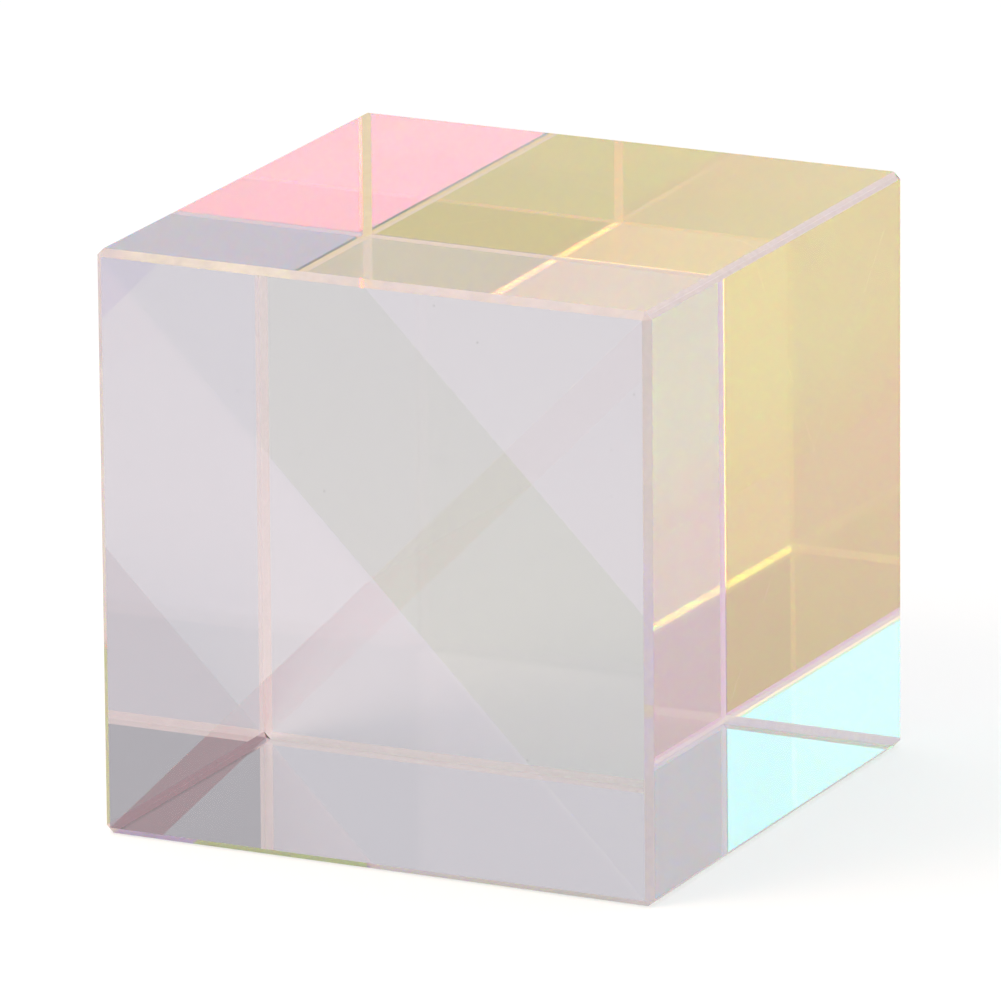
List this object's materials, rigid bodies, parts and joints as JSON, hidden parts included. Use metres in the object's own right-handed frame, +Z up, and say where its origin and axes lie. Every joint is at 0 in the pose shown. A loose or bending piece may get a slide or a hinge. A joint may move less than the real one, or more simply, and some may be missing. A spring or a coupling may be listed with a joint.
{
  "type": "dichroic prism cube",
  "caption": "Clear glass cube of cemented right-angle prisms, with crossed red-reflecting and blue-reflecting films on its diagonals and ground bevels on its edges.",
  "frame": {"origin": "centre of the bottom face, on the surface that the cube rests on", "axes": "+Z up; +Y along the prism axis, from the front end face to the back one; +X to the right seen from the front end. The films cross on the prism axis."},
  "size_m": [0.025, 0.025, 0.025],
  "materials": {
    "optical_glass": "polished faces, fine ground bevels",
    "red_reflecting_film": "vacuum coated multilayer, passes cyan and reflects red",
    "blue_reflecting_film": "vacuum coated multilayer, passes yellow and reflects blue",
    "optical_cement": "clear cured adhesive"
  },
  "bodies": {
    "root": {"top_prism": "optical_glass", "right_prism": "optical_glass", "bottom_prism": "optical_glass", "left_prism": "optical_glass", "upper_red_film": "red_reflecting_film", "lower_red_film": "red_reflecting_film", "blue_film": "blue_reflecting_film", "upper_cement": "optical_cement", "lower_cement": "optical_cement", "main_cement": "optical_cement"}
  },
  "joints": []
}
